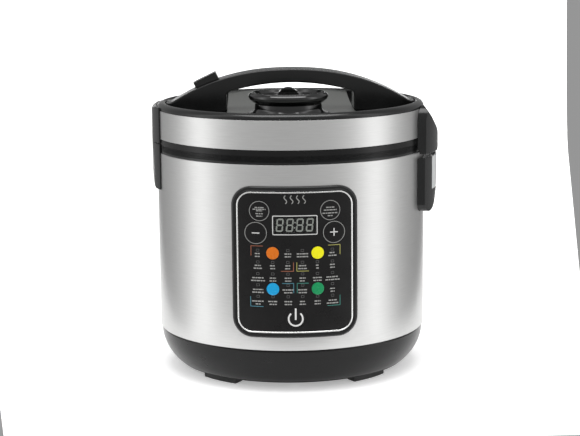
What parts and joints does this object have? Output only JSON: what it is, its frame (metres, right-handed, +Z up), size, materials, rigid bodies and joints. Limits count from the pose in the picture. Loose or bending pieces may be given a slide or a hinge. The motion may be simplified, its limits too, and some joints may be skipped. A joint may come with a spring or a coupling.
{
  "type": "rice cooker",
  "caption": "Round multicooker with a hinged steel lid, arched carrying handle, lift-out steam vent, front control panel with keys, condensate cup and loose cooking pot.",
  "frame": {"origin": "axis of the round body on the plane that the rubber feet rest on", "axes": "+Z up, -Y out of the front control panel, +X towards the lid hinge, -X towards the latch"},
  "size_m": [0.2962, 0.2824, 0.3089],
  "materials": {
    "rubber": "satin",
    "base_plastic": "satin moulded plastic",
    "brushed_steel": "vertically brushed",
    "silver_plastic": "satin silver",
    "gloss_black": "polished",
    "key_black": "printed key",
    "key_orange": "gloss",
    "key_yellow": "gloss",
    "key_blue": "gloss",
    "key_green": "gloss",
    "window_dark": "smoked clear",
    "clear_plastic": "translucent",
    "aluminium": "satin",
    "pot_coating": "non-stick coating",
    "dark_metal": "satin",
    "plated_steel": "zinc plated",
    "silicone": "matte silicone",
    "circuit_board": "solder mask",
    "components": "moulded",
    "wire_insulation": "matte"
  },
  "bodies": {
    "body": {"rubber_feet": "rubber", "base_housing": "base_plastic", "base_floor_ring": "base_plastic", "bottom_cover": "base_plastic", "bottom_screws": "plated_steel", "body_sleeve": "brushed_steel", "upper_ring": "gloss_black", "inner_liner": "aluminium", "heating_plate": "aluminium", "heating_element": "dark_metal", "plate_supports": "base_plastic", "side_heater_band": "dark_metal", "thermal_fuse": "components", "power_board": "circuit_board", "power_inlet": "components", "power_leads": "wire_insulation", "panel_frame": "gloss_black", "panel_trim": "silver_plastic", "panel_overlay": "gloss_black", "display_window": "window_dark", "control_board": "circuit_board", "hinge_housing": "gloss_black", "hinge_pin": "plated_steel", "hinge_spring": "plated_steel", "latch_housing": "gloss_black", "latch_catch": "dark_metal", "sensor_spring": "plated_steel"},
    "lid": {"lid_band": "brushed_steel", "lid_top_cover": "gloss_black", "lid_recess_floor": "gloss_black", "lid_trough_plate": "silver_plastic", "handle_arch": "gloss_black", "handle_underside": "gloss_black", "hinge_cover": "gloss_black", "lid_hinge_bracket": "dark_metal", "latch_cover": "gloss_black", "lid_lower_cover": "gloss_black", "inner_lid_plate": "aluminium", "lid_gasket": "silicone", "steam_gasket": "silicone", "lid_sensor": "plated_steel", "latch_pin": "plated_steel", "button_spring": "plated_steel"},
    "release_button": {"release_button": "gloss_black"},
    "latch_hook": {"latch_hook": "dark_metal"},
    "vent_cup": {"vent_cup": "gloss_black", "vent_flange": "gloss_black"},
    "vent_cap": {"vent_cap": "gloss_black"},
    "inner_pot": {"inner_pot": "pot_coating"},
    "thermostat": {"sensor_button": "aluminium"},
    "condensate_cup": {"condensate_cup": "clear_plastic"},
    "function_key_left": {"function_key_left": "key_black"},
    "function_key_right": {"function_key_right": "key_black"},
    "minus_key": {"minus_key": "key_black"},
    "plus_key": {"plus_key": "key_black"},
    "orange_key": {"orange_key": "key_orange"},
    "yellow_key": {"yellow_key": "key_yellow"},
    "blue_key": {"blue_key": "key_blue"},
    "green_key": {"green_key": "key_green"},
    "power_key": {"power_key": "key_black"}
  },
  "joints": [
    {"name": "lid_hinge", "type": "hinge", "parent": "body", "child": "lid", "pos_m": [0.1435, 0, 0.2305], "axis": [0, 1, 0], "range_deg": [0, 85]},
    {"name": "release_button_press", "type": "slide", "parent": "lid", "child": "release_button", "axis": [0.4352, 0, -0.9003], "range_m": [0, 0.0045], "stiffness_N_per_m": 400, "springref_m": -0.002, "deforming": ["button_spring"]},
    {"name": "latch_hook_swing", "type": "hinge", "parent": "lid", "child": "latch_hook", "pos_m": [-0.131, 0, 0.25], "axis": [0, 1, 0], "range_deg": [0, 6.4]},
    {"name": "vent_lift", "type": "slide", "parent": "lid", "child": "vent_cup", "axis": [0, 0, 1], "range_m": [0, 0.04]},
    {"name": "vent_cap_twist", "type": "hinge", "parent": "vent_cup", "child": "vent_cap", "pos_m": [-0.0033, -0.061, 0.28], "axis": [0, 0, 1], "range_deg": [0, 40]},
    {"name": "pot_turn", "type": "hinge", "parent": "body", "child": "inner_pot", "pos_m": [0, 0, 0.15], "axis": [0, 0, 1], "continuous": true},
    {"name": "thermostat_press", "type": "slide", "parent": "body", "child": "thermostat", "axis": [0, 0, 1], "range_m": [-0.003, 0], "stiffness_N_per_m": 300, "springref_m": 0.002, "deforming": ["sensor_spring"]},
    {"name": "condensate_cup_pull", "type": "slide", "parent": "body", "child": "condensate_cup", "axis": [1, 0, 0], "range_m": [0, 0.05]},
    {"name": "function_key_left_press", "type": "slide", "parent": "body", "child": "function_key_left", "axis": [0, 1, 0], "range_m": [0, 0.0006], "stiffness_N_per_m": 800, "springref_m": -0.0003},
    {"name": "function_key_right_press", "type": "slide", "parent": "body", "child": "function_key_right", "axis": [0, 1, 0], "range_m": [0, 0.0006], "stiffness_N_per_m": 800, "springref_m": -0.0003},
    {"name": "minus_key_press", "type": "slide", "parent": "body", "child": "minus_key", "axis": [0, 1, 0], "range_m": [0, 0.0006], "stiffness_N_per_m": 800, "springref_m": -0.0003},
    {"name": "plus_key_press", "type": "slide", "parent": "body", "child": "plus_key", "axis": [0, 1, 0], "range_m": [0, 0.0006], "stiffness_N_per_m": 800, "springref_m": -0.0003},
    {"name": "orange_key_press", "type": "slide", "parent": "body", "child": "orange_key", "axis": [0, 1, 0], "range_m": [0, 0.0006], "stiffness_N_per_m": 800, "springref_m": -0.0003},
    {"name": "yellow_key_press", "type": "slide", "parent": "body", "child": "yellow_key", "axis": [0, 1, 0], "range_m": [0, 0.0006], "stiffness_N_per_m": 800, "springref_m": -0.0003},
    {"name": "blue_key_press", "type": "slide", "parent": "body", "child": "blue_key", "axis": [0, 1, 0], "range_m": [0, 0.0006], "stiffness_N_per_m": 800, "springref_m": -0.0003},
    {"name": "green_key_press", "type": "slide", "parent": "body", "child": "green_key", "axis": [0, 1, 0], "range_m": [0, 0.0006], "stiffness_N_per_m": 800, "springref_m": -0.0003},
    {"name": "power_key_press", "type": "slide", "parent": "body", "child": "power_key", "axis": [0, 1, 0], "range_m": [0, 0.0006], "stiffness_N_per_m": 800, "springref_m": -0.0003}
  ],
  "couplings": [
    {"joint": "latch_hook_swing", "follows": "release_button_press", "rad_per_m": 24.5}
  ]
}
